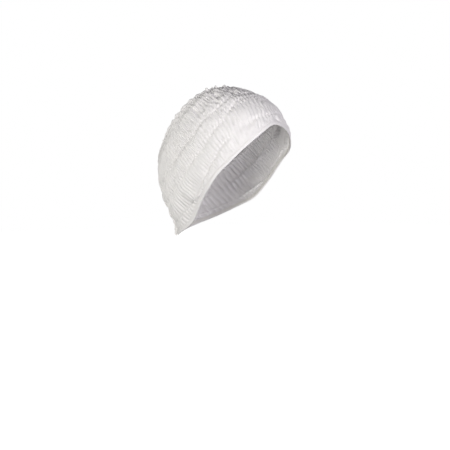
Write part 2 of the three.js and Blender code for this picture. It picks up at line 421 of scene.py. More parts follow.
def cloth_piece(name, strips, finish, closed_round=True, closed_across=False):
    """A new piece from strips of cloth, each as points and its flat size."""
    bm = bmesh.new()
    bm.loops.layers.uv.new("cloth")
    for points, flat in strips:
        add_grid(bm, points, flat, closed_round, closed_across)
    bmesh.ops.remove_doubles(bm, verts=bm.verts, dist=1e-7)
    bmesh.ops.recalc_face_normals(bm, faces=bm.faces)
    return finished_piece(name, bm, finish)


def finished_piece(name, bm, finish):
    mesh = bpy.data.meshes.new(name)
    bm.to_mesh(mesh)
    bm.free()
    mesh.shade_smooth()
    mesh.materials.append(bpy.data.materials[finish])
    piece = bpy.data.objects.new(name, mesh)
    bpy.context.scene.collection.objects.link(piece)
    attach(piece, "root")
    return piece


def face_outwards(piece):
    """Turns a piece's faces round if most of them look at the ring's middle."""
    mesh = piece.data
    outward = sum(face.normal.dot(face.center) * face.area for face in mesh.polygons)
    if outward < 0:
        mesh.flip_normals()


def give_thickness(piece, thickness, offset=-1.0):
    wall = piece.modifiers.new("wall", "SOLIDIFY")
    wall.thickness = thickness
    wall.offset = offset
    wall.use_even_offset = False
    wall.use_rim = True


def run_length(points):
    """The length round a closed run of points."""
    return steps_round(points).sum()


# ---- Finishes ---------------------------------------------------------------------------------------


class Value:
    """A socket that takes part in sums, so that shader maths reads as arithmetic."""

    def __init__(self, finish, socket):
        self.finish = finish
        self.socket = socket

    def _sum(self, operation, *values):
        return self.finish.node("ShaderNodeMath", {"operation": operation}, *values)

    def __add__(self, other):
        return self._sum("ADD", self, other)

    def __radd__(self, other):
        return self._sum("ADD", other, self)

    def __sub__(self, other):
        return self._sum("SUBTRACT", self, other)

    def __rsub__(self, other):
        return self._sum("SUBTRACT", other, self)

    def __mul__(self, other):
        return self._sum("MULTIPLY", self, other)

    def __rmul__(self, other):
        return self._sum("MULTIPLY", other, self)


class Finish:
    """A material and the nodes that its surface detail is made of."""

    def __init__(self, name):
        self.material = bpy.data.materials.get(name) or bpy.data.materials.new(name)
        self.material.use_nodes = True
        self.tree = self.material.node_tree
        self.tree.nodes.clear()
        output = self.tree.nodes.new("ShaderNodeOutputMaterial")
        self.shader = self.tree.nodes.new("ShaderNodeBsdfPrincipled")
        self.tree.links.new(self.shader.outputs["BSDF"], output.inputs["Surface"])

    def node(self, kind, settings=None, *values, output=0, **named):
        """A new node of a kind, its settings first, then the values or links of its sockets."""
        node = self.tree.nodes.new(kind)
        for key, setting in (settings or {}).items():
            setattr(node, key, setting)
        for index, value in enumerate(values):
            self._feed(node.inputs[index], value)
        for key, value in named.items():
            self._feed(node.inputs[key.replace("_", " ")], value)
        return Value(self, node.outputs[output])

    def _feed(self, socket, value):
        if isinstance(value, Value):
            self.tree.links.new(value.socket, socket)
        else:
            socket.default_value = value

    def ramp(self, value, low, high):
        """0 where a value is under low, 1 over high, and a smooth rise between."""
        return self.node(
            "ShaderNodeMapRange",
            {"interpolation_type": "SMOOTHSTEP"},
            value,
            From_Min=low,
            From_Max=high,
        )

    def blend(self, part, first, second):
        """One colour turning into another as part goes from 0 to 1."""
        node = self.tree.nodes.new("ShaderNodeMix")
        node.data_type = "RGBA"
        for index, value in ((0, part), (6, first), (7, second)):
            self._feed(node.inputs[index], value)
        return Value(self, node.outputs[2])

    def cloth_place(self, scale, turn=0.0):
        """Places on the cloth laid flat, turned and scaled per millimetre."""
        flat = self.node("ShaderNodeUVMap", {"uv_map": "cloth"})
        turned = (0.0, 0.0, turn)
        return self.node("ShaderNodeMapping", None, flat, Rotation=turned, Scale=(*scale, 1.0))

    def noise(self, place, detail, distortion=0.0):
        """Soft noise with one patch for each unit of place."""
        named = {"Vector": place, "Scale": 1.0, "Detail": detail, "Distortion": distortion}
        return self.node("ShaderNodeTexNoise", None, **named)

    def surface(self, colour, roughness, height, depth):
        """Feeds the shader, with height as relief of a depth in metres."""
        relief = self.node("ShaderNodeBump", None, Strength=1.0, Distance=depth, Height=height)
        self._feed(self.shader.inputs["Base Color"], colour)
        self._feed(self.shader.inputs["Roughness"], roughness)
        self._feed(self.shader.inputs["Normal"], relief)


FIBRE_DEPTH = 0.12  # millimetres of relief in the nonwoven
YARN_DEPTH = 0.18  # millimetres of relief in the elastic
LIGHT_REACH = 1.6  # millimetres that light travels inside the cloth
CLOTH_ROUGHNESS = 0.72
HEM_ROUGHNESS = 0.6
ELASTIC_ROUGHNESS = 0.6
HEM_PAINTED_LIGHT = 1.04  # times the cloth's colours for the hem's finish: painted light, which draws the front hem, its stitches and the seam brighter than the cloth, while the back hem, folded alike, keeps the plain cloth


def colour_of(values):
    """A colour with its alpha."""
    return (*values, 1.0)


def nonwoven_finish(name, colours, roughness):
    """Spunbond cloth: stray fibres, a field of small bonding points and cloudy density."""
    finish = Finish(name)
    lying = finish.noise(finish.cloth_place((0.9, 5.0), 0.35), detail=3.0, distortion=0.6)
    crossing = finish.noise(finish.cloth_place((0.9, 5.5), -0.5), detail=3.0, distortion=0.6)
    fibres = (lying + crossing) * 0.5
    points = finish.node(
        "ShaderNodeTexVoronoi",
        {"feature": "F1"},
        Vector=finish.cloth_place((0.62, 0.62), 0.79),
        Scale=1.0,
        Randomness=0.12,
    )
    bonds = 1 - finish.ramp(points, 0.16, 0.26)
    clouds = finish.noise(finish.cloth_place((0.07, 0.1)), detail=3.0)
    web = finish.ramp(clouds, 0.35, 0.7)
    light = finish.blend(web, colour_of(colours[0]), colour_of(colours[1]))
    shade = finish.ramp(fibres, 0.36, 0.62) * 0.5 + bonds * 0.35
    colour = finish.blend(shade, light, colour_of(colours[2]))
    gloss = roughness + 0.1 * fibres - bonds * 0.14
    relief = fibres - bonds * 0.6
    for socket, value in (
        ("Subsurface Weight", 0.12),
        ("Subsurface Radius", (LIGHT_REACH * MM,) * 3),
        ("Subsurface Scale", 1.0),
        ("Specular IOR Level", 0.35),
    ):
        finish.shader.inputs[socket].default_value = value
    finish.surface(colour, gloss, relief, FIBRE_DEPTH * MM)


def elastic_finish(name, colours, roughness):
    """Braided elastic: yarns that cross in a fine plait over covered rubber cords."""
    finish = Finish(name)
    yarns = []
    for turn in (0.6, -0.6):
        wave = finish.node(
            "ShaderNodeTexWave",
            {"wave_type": "BANDS", "bands_direction": "X", "wave_profile": "SIN"},
            Vector=finish.cloth_place((1.0, 1.0), turn),
            Scale=0.42,
            Distortion=0.5,
            Detail=1.0,
            output=1,
        )
        yarns.append(wave)
    plait = yarns[0] * yarns[1]
    fluff = finish.noise(finish.cloth_place((1.5, 1.5)), detail=4.0)
    shade = finish.ramp(plait, 0.05, 0.6)
    colour = finish.blend(shade, colour_of(colours[1]), colour_of(colours[0]))
    gloss = roughness + 0.12 * fluff
    relief = plait + fluff * 0.3
    finish.surface(colour, gloss, relief, YARN_DEPTH * MM)


# ---- Sizes and colours that a user may change -------------------------------------------------------


def length_property(name, description, default):
    return FloatProperty(
        name=name, description=description, default=default, subtype="DISTANCE", unit="LENGTH"
    )


def angle_property(name, description, default):
    return FloatProperty(
        name=name, description=description, default=default, subtype="ANGLE", unit="ROTATION"
    )


def count_property(name, description, default):
    return IntProperty(name=name, description=description, default=default, min=1)


def colour_property(name, description, default):
    return FloatVectorProperty(
        name=name, description=description, default=default, subtype="COLOR", size=3
    )


class ClothSizes(bpy.types.PropertyGroup):
    """The broad gathered band."""

    wall: length_property("Wall", "Thickness of the cloth", 0.3 * MM)
    gathers: count_property("Gathers", "Crosswise gathers round the whole ring", 100)
    gather_height: length_property("Gather height", "From a gather's bottom to its top", 1.9 * MM)
    fold_depth: length_property("Fold depth", "How far a lengthwise fold is drawn in", 2.0 * MM)
    crumple: length_property("Crumple", "Height of the coarse folds near the crown edge", 3.6 * MM)
    ruffles: count_property("Ruffles", "Ruffles round the whole crown edge", 34)
    frill: length_property("Frill", "How far the crown edge's ruffles stand out", 2.5 * MM)


class TrimSizes(bpy.types.PropertyGroup):
    """The hems, the elastics and the seam."""

    hem_wall: length_property("Hem wall", "Thickness of the hem's cloth", 0.28 * MM)
    front_pucker: length_property("Front pucker", "Height of the front hem's puckers", 0.22 * MM)
    back_pucker: length_property("Back pucker", "Height of the back hem's puckers", 0.6 * MM)
    stitch_dent: length_property("Stitch dent", "How deep the stitches draw the hem in", 0.22 * MM)
    stitch_pitch: length_property("Stitch pitch", "From one stitch to the next", 3.2 * MM)
    stitch_share: FloatProperty(
        name="Stitch share", description="Part of the pitch that shows as thread", default=0.72
    )
    thread: length_property("Thread", "Thickness of the thread", 0.28 * MM)
    elastic_cords: count_property("Elastic cords", "Rubber cords in each elastic", 6)
    elastic_thickness: length_property("Elastic thickness", "Thickness of the tapes", 0.8 * MM)
    seam_wall: length_property("Seam wall", "Thickness of each of the seam's plies", 0.22 * MM)
    seam_height: length_property("Seam height", "How far the seam's plies stand up", 2.3 * MM)
    seam_lean: angle_property("Seam lean", "How far the seam's plies lean over", -0.45)


class FinishColours(bpy.types.PropertyGroup):
    """Colours of the cloth and the elastic."""

    cloth: colour_property("Cloth", "Cloth where the web is dense", (0.935, 0.918, 0.905))
    cloth_thin: colour_property("Thin cloth", "Cloth where the web is thin", (0.9, 0.882, 0.88))
    cloth_shade: colour_property(
        "Cloth shade", "Between fibres and in bonding points", (0.81, 0.79, 0.805)
    )
    elastic: colour_property("Elastic", "Yarn on top of the elastic", (0.92, 0.905, 0.88))
    elastic_shade: colour_property("Elastic shade", "Between its yarns", (0.8, 0.78, 0.74))


class StageSettings(bpy.types.PropertyGroup):
    """The camera and the floor."""

    azimuth: angle_property("Azimuth", "Camera's bearing round the object", math.radians(-40))
    elevation: angle_property("Elevation", "Camera's height above level", math.radians(2))
    distance: length_property("Distance", "Camera to the place that it looks at", 2.4)
    field: length_property("Field", "Width that the picture takes in there", 0.621)
    floor_drop: length_property("Floor drop", "Floor below the ring's lowest point", 0.26)


# ---- The cloth's relief -----------------------------------------------------------------------------


def pinched(turn):
    """A gather's section from 0 in its narrow valley to 1 on its round top, once each turn."""
    floor = 0.1
    return (np.sqrt(np.sin(turn / 2) ** 2 + floor**2) - floor) / (math.hypot(1, floor) - floor)


PLEAT_MIDDLES = (11, 35, 59, 90)  # millimetres from the front hem to the middle of each pleat


def gather_wave(zone, bearing, place, count):
    """Crosswise gathers of one pleat, about -0.5 to 0.5: uneven, and forking here and there."""
    waves = []
    spread = bearing - 0.07 * np.sin(2 * bearing)  # closer together over the ears
    lean = 0.36 * bell(turned_degrees(bearing) + 2, 36)  # aslant over the forehead
    spread = spread - lean * (place - PLEAT_MIDDLES[zone]) / RING_RADIUS
    for turn_seed, more in ((3, 0), (203, 5)):
        drift = 0.6 * unevenness(bearing, place, 30, 50, turn_seed + zone)
        drift = drift + 0.25 * unevenness(bearing, place, 11, 20, turn_seed + 10 + zone)
        turn = (count + more) * spread + 2 * math.pi * (drift + 0.31 * zone)
        waves.append(pinched(turn) - 0.6)
    fork = eased(-0.12, 0.12, unevenness(bearing, place, 17, 16, 43 + zone))
    wave = waves[0] + (waves[1] - waves[0]) * fork
    patch = unevenness(bearing, place, 16, 18, 23 + zone)
    single = unevenness(bearing, place, 4.5, 40, 33 + zone)
    return wave * np.clip(0.95 + 0.7 * patch + 0.6 * single, 0.35, 1.6)


def gather_relief(cloth, sizes):
    """Gathers over the whole band: each pleat has its own run of them, so that they break at folds."""
    across = cloth.across / MM
    relief = np.zeros(across.shape)
    zones = np.clip(np.floor(cloth.pleat - 1e-6), 0, len(PLEAT_ROWS) - 1)
    for zone in range(len(PLEAT_ROWS)):
        rows = zones == zone
        relief[rows] = gather_wave(zone, cloth.bearing, across[rows], sizes.gathers - 3 * zone)
    return relief * sizes.gather_height


# How deep the gathers are, as a share of their full height: a row for each place in DEPTH_PLEATS, from
# the middle of the forehead over the ears to the back. As far as the ears they are shallowest by the
# front hem.
DEPTH_BEARINGS = (0, 20, 38, 55, 75, 95, 115, 135, 180)
DEPTH_PLEATS = (0.4, 0.95, 1.4, 2.1, 3.15, 3.8)
GATHER_DEPTH = (
    (0.28, 0.28, 0.28, 0.3, 0.3, 0.28, 0.5, 0.8, 0.6),
    (0.65, 0.6, 0.5, 0.5, 0.5, 0.32, 0.45, 0.55, 0.55),
    (1.1, 1.05, 0.7, 0.6, 0.5, 0.3, 0.7, 1.05, 0.9),
    (1.05, 0.95, 0.75, 0.75, 0.8, 0.85, 1.3, 1.4, 1.0),
    (0.65, 0.65, 0.6, 0.85, 1.65, 1.9, 1.6, 1.1, 0.8),
    (0.55, 0.55, 0.6, 0.7, 1.1, 1.2, 1.05, 0.8, 0.6),
)


def gather_depth(turned, pleat):
    """The share of their full height that the gathers have at each row and column of the cloth."""
    aside = np.abs(turned)
    rows = np.array([np.interp(aside, DEPTH_BEARINGS, row) for row in GATHER_DEPTH])
    return np.stack([np.interp(pleat, DEPTH_PLEATS, column) for column in rows.T], axis=1)


def frill(bearing, from_edge, sizes):
    """How far the crown edge's ruffles stand out, at a distance in mm from that edge."""
    crown = np.clip(np.cos(bearing), 0, 1)
    drift = 0.8 * unevenness(bearing, 0.0, 36, 1, 131) + 0.3 * unevenness(bearing, 0.0, 12, 1, 132)
    turn = sizes.ruffles * bearing + 2 * math.pi * drift
    wave = np.sin(turn) + 0.15 * np.sin(2.3 * turn + 6 * unevenness(bearing, 0.0, 20, 1, 133))
    uneven = np.clip(0.8 + 1.1 * unevenness(bearing, 0.0, 15, 1, 134), 0.2, 1.6)
    flare = 1 - eased(0, 7.5, from_edge) + 0.25 * bell(from_edge - 13, 5)
    flare = 0.2 * (1 - eased(10, 30, from_edge)) + 0.8 * flare
    return sizes.frill * (0.25 + 0.75 * crown) * wave * uneven * flare


def behind_ears(bearing):
    """0 as far as the ears and 1 behind them."""
    return eased(104, 122, np.abs(turned_degrees(bearing)))


EAR_BEARING = 106  # degrees round the ring to the ridge, where it starts at the front hem
EAR_SLANT = 9.5  # degrees that the ridge leans back on its way in from the hem
EAR_RIDGE = 1.5  # millimetres that the ridge stands up
EAR_HOLLOW = (11, 0.8)  # degrees behind the ridge, and millimetres deep


def ear_relief(bearing, pleat):
    """The ridge that an ear pushes up, crosswise from the front hem, and the hollow behind it, in mm."""
    behind = np.abs(turned_degrees(bearing)) - EAR_BEARING - EAR_SLANT * eased(0, 1.3, pleat)
    reach = 1 - eased(1.7, 2.3, pleat)
    steep = np.where(behind > 0, 3.4, 6.0)
    ridge = EAR_RIDGE * bell(behind, steep) * eased(-0.1, 0.5, pleat)
    away, deep = EAR_HOLLOW
    return (ridge - deep * bell(behind - away, 7.0) * eased(0.1, 0.9, pleat)) * reach


FOLD_RISES = (0.0, 0.5, 0.15)  # pleats that each fold climbs over the forehead
FOLD_LEAD = 0.07  # pleats that every fold lies nearer the front hem than its line
LIP = (0.1, 0.16)  # the lip beside a fold: its height as part of the fold's depth, and pleats away
CREASES = ((1.42, 71), (1.72, 72), (2.5, 73), (3.25, 74), (3.55, 75))  # minor ones: pleat and seed
CREASE_SHARE = 0.55  # depth of a minor crease as part of a fold's


def fold_relief(bearing, pleat, nape, fold_depth):
    """The cloth's height round the three folds, their lips and the minor creases: below 0 in a fold."""
    turned = turned_degrees(bearing)
    lift = np.zeros(np.broadcast(pleat, bearing).shape)
    taut = 1.25 - 0.7 * nape - 0.85 * bell(turned + 18, 48)
    on_forehead = eased(-38, -12, turned) * (1 - eased(5, 30, turned))
    wander = 0.12 * unevenness(bearing, 0.0, 22, 1, 51, octaves=2)
    for fold, rise in enumerate(FOLD_RISES, 1):
        uneven = np.clip(0.85 + 0.8 * unevenness(bearing, 0.0, 22, 1, 60 + fold), 0.45, 1.4)
        depth = fold_depth * uneven * taut
        line = pleat - fold + FOLD_LEAD - wander - rise * on_forehead
        lift -= depth * bell(line, np.where(line > 0, 0.055, 0.12))
        lift += LIP[0] * depth * bell(line - LIP[1], 0.09)
    for crease, seed in CREASES:
        uneven = np.clip(0.25 + 1.1 * unevenness(bearing, 0.0, 20, 1, seed), 0, 1)
        path = crease + 0.14 * unevenness(bearing, 0.0, 18, 1, seed + 10)
        depth = CREASE_SHARE * fold_depth * uneven * (1 - 0.5 * nape)
        lift -= depth * bell(pleat - path, 0.05)
    return lift


PUFF_BEARING = -20  # degrees to the place where the second puff hangs over the first
OVERHANG = (1.08, 0.3)  # its pleat, and millimetres that it stands out
RECESS = (0.78, 1.6)  # the hollow under it: its pleat, and millimetres deep
NAPE_DENT = (-147, 11, 2.4)  # degrees round the ring, mm in from the front edge, and mm deep


def local_relief(cloth, pleat):
    """Broad swells, the rumples by the front hem, and the single dents and bumps, in mm."""
    across = cloth.across / MM
    bearing = cloth.bearing
    turned = turned_degrees(bearing)
    broad = unevenness(bearing, across, 28, 18, 81, octaves=2)
    soft = unevenness(bearing, across, 12, 20, 82)
    lift = 1.2 * broad + 0.8 * soft
    smooth_front = (1 - eased(0.6, 0.9, pleat)) * (1 - behind_ears(bearing))
    lift += 1.6 * unevenness(bearing, across, 8, 6, 85, octaves=2) * smooth_front
    place, height = OVERHANG
    lift += height * bell(turned - PUFF_BEARING, 15) * bell(pleat - place, 0.12)
    place, depth = RECESS
    lift -= depth * bell(turned - PUFF_BEARING, 13) * bell(pleat - place, 0.17)
    place, inset, depth = NAPE_DENT
    lift -= depth * bell(turned - place, 2.6) * bell(across - inset, 3.4)
    return lift + ear_relief(bearing, pleat)


def crumpled_crown(cloth, pleat, from_edge, crumple):
    """The coarse, sharp crumples of the last pleat over the forehead and near the crown edge."""
    across = cloth.across / MM
    bearing = cloth.bearing
    crown = np.clip(np.cos(bearing), 0, 1) ** 1.5 * eased(2.85, 3.2, pleat)
    near_edge = 1 - eased(9, 34, from_edge)
    coarse = 1 - 3.2 * np.abs(unevenness(bearing, across, 7.5, 20, 91, octaves=2))
    fine = unevenness(bearing, across, 4.2, 9, 92)
    strength = 0.25 * near_edge + 0.75 * crown
    return crumple * (strength * (0.75 * coarse + 0.3 * fine) - 0.35 * crown)


def pleated_face(cloth, sizes):
    """The band's outer face with all of its relief."""
    from_edge = cloth.to_back / MM + TUCK_INSETS[0]
    bearing = cloth.bearing
    turned = turned_degrees(bearing)
    pleat = cloth.pleat[:, None]
    nape = eased(110, 150, np.abs(turned))
    inside_hems = eased(-0.02, 0.2, pleat) * (1 - eased(3.75, 4.0, pleat))

    lift = gather_relief(cloth, sizes) * gather_depth(turned, cloth.pleat)
    lift += fold_relief(bearing, pleat, nape, sizes.fold_depth)
    lift += local_relief(cloth, pleat) * MM
    lift += crumpled_crown(cloth, pleat, from_edge, sizes.crumple)
    cinch = np.clip(1.1 + 1.4 * unevenness(bearing, 0.0, 18, 1, 93), 0.3, 2.2)
    lift -= MM * cinch * bell(from_edge - CINCH, 3.2)

    ruffles = frill(bearing, from_edge, sizes)
    return cloth.face + cloth.out * (lift * inside_hems + ruffles)[..., None]


# ---- Operators: one for each group of pieces --------------------------------------------------------


class HEADBAND_OT_pleated_cloth(bpy.types.Operator):
    """Makes the broad band of gathered cloth"""

    bl_idname = "headband.pleated_cloth"
    bl_label = "Pleated Cloth"

    def execute(self, context):
        sizes = context.scene.headband_cloth
        cloth = band()
        face = pleated_face(cloth, sizes)
        length = run_length(face[len(face) // 2])
        width = cloth.across[-1].mean()
        piece = cloth_piece("pleated_cloth", [(face, (width / MM, length / MM))], "nonwoven")
        face_outwards(piece)
        give_thickness(piece, sizes.wall)
        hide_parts("cloth_band")
        return {"FINISHED"}


# The hem is a strip folded over, from its inner ply round the free edge to its outer ply: distances in
# from the free edge and heights over its inner face, in millimetres.
HEM_FOLD = (
    (4.3, 0.14), (3.4, 0.0), (2.2, 0.0), (1.2, 0.04), (0.55, 0.16), (0.14, 0.4), (0.0, 0.68),
    (0.14, 0.95), (0.55, 1.17), (1.2, 1.28), (2.0, 1.3), (2.8, 1.28), (3.5, 1.24), (4.1, 1.2),
    (4.6, 1.17), (5.1, 1.15), (5.6, 1.12), (6.05, 0.98),
)
HEM_SEAM_ROW = 14  # the row of the fold that its stitches run along
HEM_EDGE_HEIGHT = 0.68  # the free edge's own height, which parts the inner ply from the outer
HEM_LEVEL = 1.12  # the outer ply's own height by its inner edge, which the cloth's replaces
HEM_OVERLAP = 0.42  # millimetres that the hem's inner edge stands over the cloth beside it


def hem_rows(side, rail, level, cloth_sizes, sizes):
    """The rows of a hem's fold, from its inner ply to its outer one."""
    bearing = around(COLUMNS)
    zone = 0 if side < 0 else len(PLEAT_ROWS) - 1
    count = cloth_sizes.gathers - 3 * zone
    place = 0.0 if side < 0 else band().across[-1].mean() / MM
    pucker = gather_wave(zone, bearing, place, count)
    front = sizes.front_pucker * (1 + 4 * behind_ears(bearing))
    depth = front if side < 0 else sizes.back_pucker
    rows = []
    for inset, height in HEM_FOLD:
        outer = 1.0 if height > HEM_EDGE_HEIGHT else 0.0
        meet = outer * eased(2.0, 5.6, inset)
        top = height * MM + meet * (level[:, 0] + (HEM_OVERLAP - HEM_LEVEL) * MM)
        swell = unevenness(bearing, inset * (2 * outer - 1), 13, 9, 101 + zone)
        lift = top + 0.16 * MM * swell * outer
        free = 0.35 + 0.65 * eased(1.0, 4.6, inset) - 0.85 * meet
        lift += depth * pucker * free * (0.3 + 0.7 * outer)
        lift -= sizes.stitch_dent * outer * bell(inset - HEM_FOLD[HEM_SEAM_ROW][0], 0.4)
        if side > 0:
            lift += frill(bearing, inset, cloth_sizes)
        rows.append(rail.at(inset * MM, lift[:, None]))
    return np.array(rows)


class HEADBAND_OT_hems(bpy.types.Operator):
    """Makes the taut front hem and the frilled back hem"""

    bl_idname = "headband.hems"
    bl_label = "Hems"

    def execute(self, context):
        scene = context.scene
        sizes = scene.headband_trim
        cloth = band()
        for name, node, side, rail, level in (
            ("front_hem_cloth", "front_hem", -1, cloth.front_hem, cloth.front_level),
            ("back_hem_cloth", "back_hem", 1, cloth.back_hem, cloth.back_level),
        ):
            points = hem_rows(side, rail, level, scene.headband_cloth, sizes)
            width = steps_along(points).sum(axis=0).mean()
            length = run_length(points[HEM_SEAM_ROW])
            # The front hem takes the finish with painted light, brighter than the cloth; the back hem
            # takes the plain cloth.
            finish = "hem_cloth" if side < 0 else "nonwoven"
            piece = cloth_piece(name, [(points, (width / MM, length / MM))], finish)
            give_thickness(piece, sizes.hem_wall, 0.0)
            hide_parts(node)
            stitches = self.stitch(
                name.replace("cloth", "stitches"), points[HEM_SEAM_ROW], rail.out, sizes
            )
            "stretched" if side < 0 else "gathered"
        return {"FINISHED"}

    @staticmethod
    def stitch(name, run, out, sizes):
        """Lays short bowed stitches of thread along a run of points."""
        steps = steps_round(run)
        travelled = np.concatenate([[0.0], np.cumsum(steps)])
        count = round(travelled[-1] / sizes.stitch_pitch)
        bm = bmesh.new()
        for index in range(count):
            ends = []
            for reach in (-0.5, 0.5):
                place = (index + 0.5 + reach * sizes.stitch_share) * travelled[-1] / count
                column = np.searchsorted(travelled, place) - 1
                part = (place - travelled[column]) / steps[column]
                ahead = (column + 1) % len(run)
                ends.append(Vector(run[column] + (run[ahead] - run[column]) * part))
            middle = (ends[0] + ends[1]) / 2 + Vector(out[column]) * sizes.thread * 0.5
            along = ends[1] - ends[0]
            turn = along.to_track_quat("Z", "Y").to_matrix().to_4x4()
            shape = Matrix.Diagonal((sizes.thread / 2, sizes.thread / 2, along.length / 2, 1.0))
            place = Matrix.Translation(middle) @ turn @ shape
            bmesh.ops.create_uvsphere(bm, u_segments=6, v_segments=5, radius=1.0, matrix=place)
        return finished_piece(name, bm, "hem_cloth")


class HEADBAND_OT_elastics(bpy.types.Operator):
    """Makes the two elastic tapes inside the ring"""

    bl_idname = "headband.elastics"
    bl_label = "Elastics"

    def execute(self, context):
        sizes = context.scene.headband_trim
        for name, node, side in (
            ("front_elastic_tape", "front_elastic", -1),
            ("back_elastic_tape", "back_elastic", 1),
        ):
            rail = Rail(node, side)
            width = float(rail.width.mean())
            faces = (self.tape_face(rail, width, sizes, way) for way in (-1, 1))
            points = np.array([row for face in faces for row in face])
            length = run_length(points[0])
            strips = [(points, (2 * width / MM, length / MM))]
            piece = cloth_piece(name, strips, "elastic_tape", closed_across=True)
            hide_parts(node)
        return {"FINISHED"}

    @staticmethod
    def tape_face(rail, width, sizes, way):
        """One face of a tape, ribbed by the cords in it and rounded at both edges."""
        steps = 4 * sizes.elastic_cords
        half = sizes.elastic_thickness / 2
        rows = []
        for step in range(steps + 1):
            part = step / steps if way < 0 else 1 - step / steps
            rib = abs(math.sin(math.pi * part * sizes.elastic_cords))
            edge = min(1.0, 8 * min(part, 1 - part))
            swell = 0.45 + 0.4 * math.sin(math.pi / 2 * edge) + 0.15 * rib
            rows.append(rail.at(part * width, half + way * half * swell))
        return rows


# One ply of the seam from its foot up. The foot is in millimetres out from the seam and up from the
# cloth. The top is in millimetres out, a share of the seam's height, and how loosely it stands.
SEAM_FOOT = ((1.7, -0.1), (1.0, 0.03), (0.5, 0.14))
SEAM_WELD = (0.38, 0.32)  # the weld's lower line in millimetres up, and its upper as a share of height
SEAM_TOP = ((0.22, 0.5, 0.15), (0.3, 0.7, 0.45), (0.36, 0.86, 0.8), (0.4, 1.0, 1.0))
SEAM_ROOT = 0.25  # millimetres added to the height of all that lies above the weld's lower line
WELD_PITCH = 2.4  # millimetres from one weld point to the next
SEAM_PLACES = 331  # places along the seam


def noise_along(run, size, x, z):
    """Smooth noise from about -1 to 1 along a run in millimetres, with patches of a size."""
    return np.array([noise.noise(Vector((x, place / size, z))) for place in run])


class HEADBAND_OT_joining_seam(bpy.types.Operator):
    """Makes the seam that closes the strip into a ring: two plies that stand up together"""

    bl_idname = "headband.joining_seam"
    bl_label = "Joining Seam"

    def execute(self, context):
        sizes = context.scene.headband_trim
        base, along, out = self.foot_line()
        aside = unit(np.cross(out, along))
        run = np.concatenate([[0.0], np.cumsum(steps_along(base))]) / MM
        height, lean = self.stand(run, sizes)
        strips = []
        for side in (-1, 1):
            points = self.ply(side, run, height, lean, base, aside, out)
            width = steps_along(points).sum(axis=0).mean() / MM
            strips.append((points, (width, run[-1])))
        piece = cloth_piece("joining_seam_plies", strips, "hem_cloth", closed_round=False)
        give_thickness(piece, sizes.seam_wall, 0.0)
        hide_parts("joining_seam")
        length = run_length(band().face[len(band().face) // 2])
        return {"FINISHED"}

    @staticmethod
    def foot_line():
        """The line on the finished cloth that the seam stands on, with its own way along and out."""
        bearing, latitude = bearing_and_latitude(node_points("joining_seam"))
        stations = np.linspace(latitude.min(), latitude.max(), SEAM_PLACES)[None]
        bearings = np.full(stations.shape, bearing.mean())
        pieces = ("pleated_cloth", "front_hem_cloth", "back_hem_cloth")
        made = [bpy.data.objects[name].data for name in pieces]
        reach = outer_reach(mesh_tree(made), bearings, stations)[0]
        known = np.flatnonzero(~np.isnan(reach))
        reach = np.interp(np.arange(len(reach)), known, reach[known])
        for _ in range(6):
            reach[1:-1] = (reach[:-2] + 2 * reach[1:-1] + reach[2:]) / 4
        base = directions(bearings, stations)[0] * reach[:, None]
        along = unit(np.gradient(base, axis=0))
        round_ring = unit(np.cross(AXIS, base))
        return base, along, unit(np.cross(round_ring, along))

    @staticmethod
    def stand(run, sizes):
        """How high the plies stand along the seam, in mm, and how far they lean over."""
        uneven = noise_along(run, 7, 0.0, 5.5)
        sway = noise_along(run, 15, 3.0, 2.5)
        height = sizes.seam_height / MM * (1 + 0.22 * uneven)
        flap = 1 - eased(9, 13, run)
        height += flap * 1.5 * eased(-1.0, 2.5, run) - 1.1 * bell(run - 14.5, 1.8)
        height += 1.0 * eased(run[-1] - 7, run[-1] - 3, run)
        return height, sizes.seam_lean + 0.5 * sway

    @staticmethod
    def ply(side, run, height, lean, base, aside, out):
        """One ply: its foot lies on the cloth, it is welded to the other ply and stands open above."""
        up = np.cos(lean)[:, None] * out + np.sin(lean)[:, None] * aside
        over = np.cos(lean)[:, None] * aside - np.sin(lean)[:, None] * out
        weld = 0.5 + 0.5 * np.cos(2 * math.pi * run / WELD_PITCH)
        flutter = noise_along(run, 4.5, 9.0 * side, 1.5)
        welded = side * (0.14 + 0.12 * weld)
        lower, upper = SEAM_WELD
        places = [(side * apart, level) for apart, level in SEAM_FOOT]
        places += [(welded, lower), (welded, upper * height + SEAM_ROOT)]
        for apart, share, loose in SEAM_TOP:
            gap = side * (apart + 0.35 * loose * np.abs(flutter)) + 0.5 * loose * flutter
            places.append((gap, share * height + SEAM_ROOT))
        rows = []
        for gap, level in places:
            sideways = np.broadcast_to(gap * MM, run.shape)[:, None]
            upwards = np.broadcast_to(level * MM, run.shape)[:, None]
            rows.append(base + over * sideways + up * upwards)
        return np.array(rows)


class HEADBAND_OT_finishes(bpy.types.Operator):
    """Makes the cloth and elastic finishes"""

    bl_idname = "headband.finishes"
    bl_label = "Finishes"

    def execute(self, context):
        colours = context.scene.headband_colours
        shades = (colours.cloth, colours.cloth_thin, colours.cloth_shade)
        nonwoven_finish("nonwoven", shades, CLOTH_ROUGHNESS)
        # The hem's finish is the cloth's, with its colours made lighter: painted light, not a colour of
        # its own.
        light = tuple(tuple(min(1.0, HEM_PAINTED_LIGHT * v) for v in shade) for shade in shades)
        nonwoven_finish("hem_cloth", light, HEM_ROUGHNESS)
        yarns = (colours.elastic, colours.elastic_shade)
        elastic_finish("elastic_tape", yarns, ELASTIC_ROUGHNESS)
        return {"FINISHED"}


COOL, WARM = (0.99, 0.96, 1.0), (0.99, 0.985, 0.94)
AMBIENT = 0.1  # strength of the light that comes from all round
FLOOR_FADE = (0.2, 1.8)  # metres from the middle between which the floor turns white
CAMERA_TARGET = (0.0007, -0.1035)  # metres right of and above the origin, where the camera looks
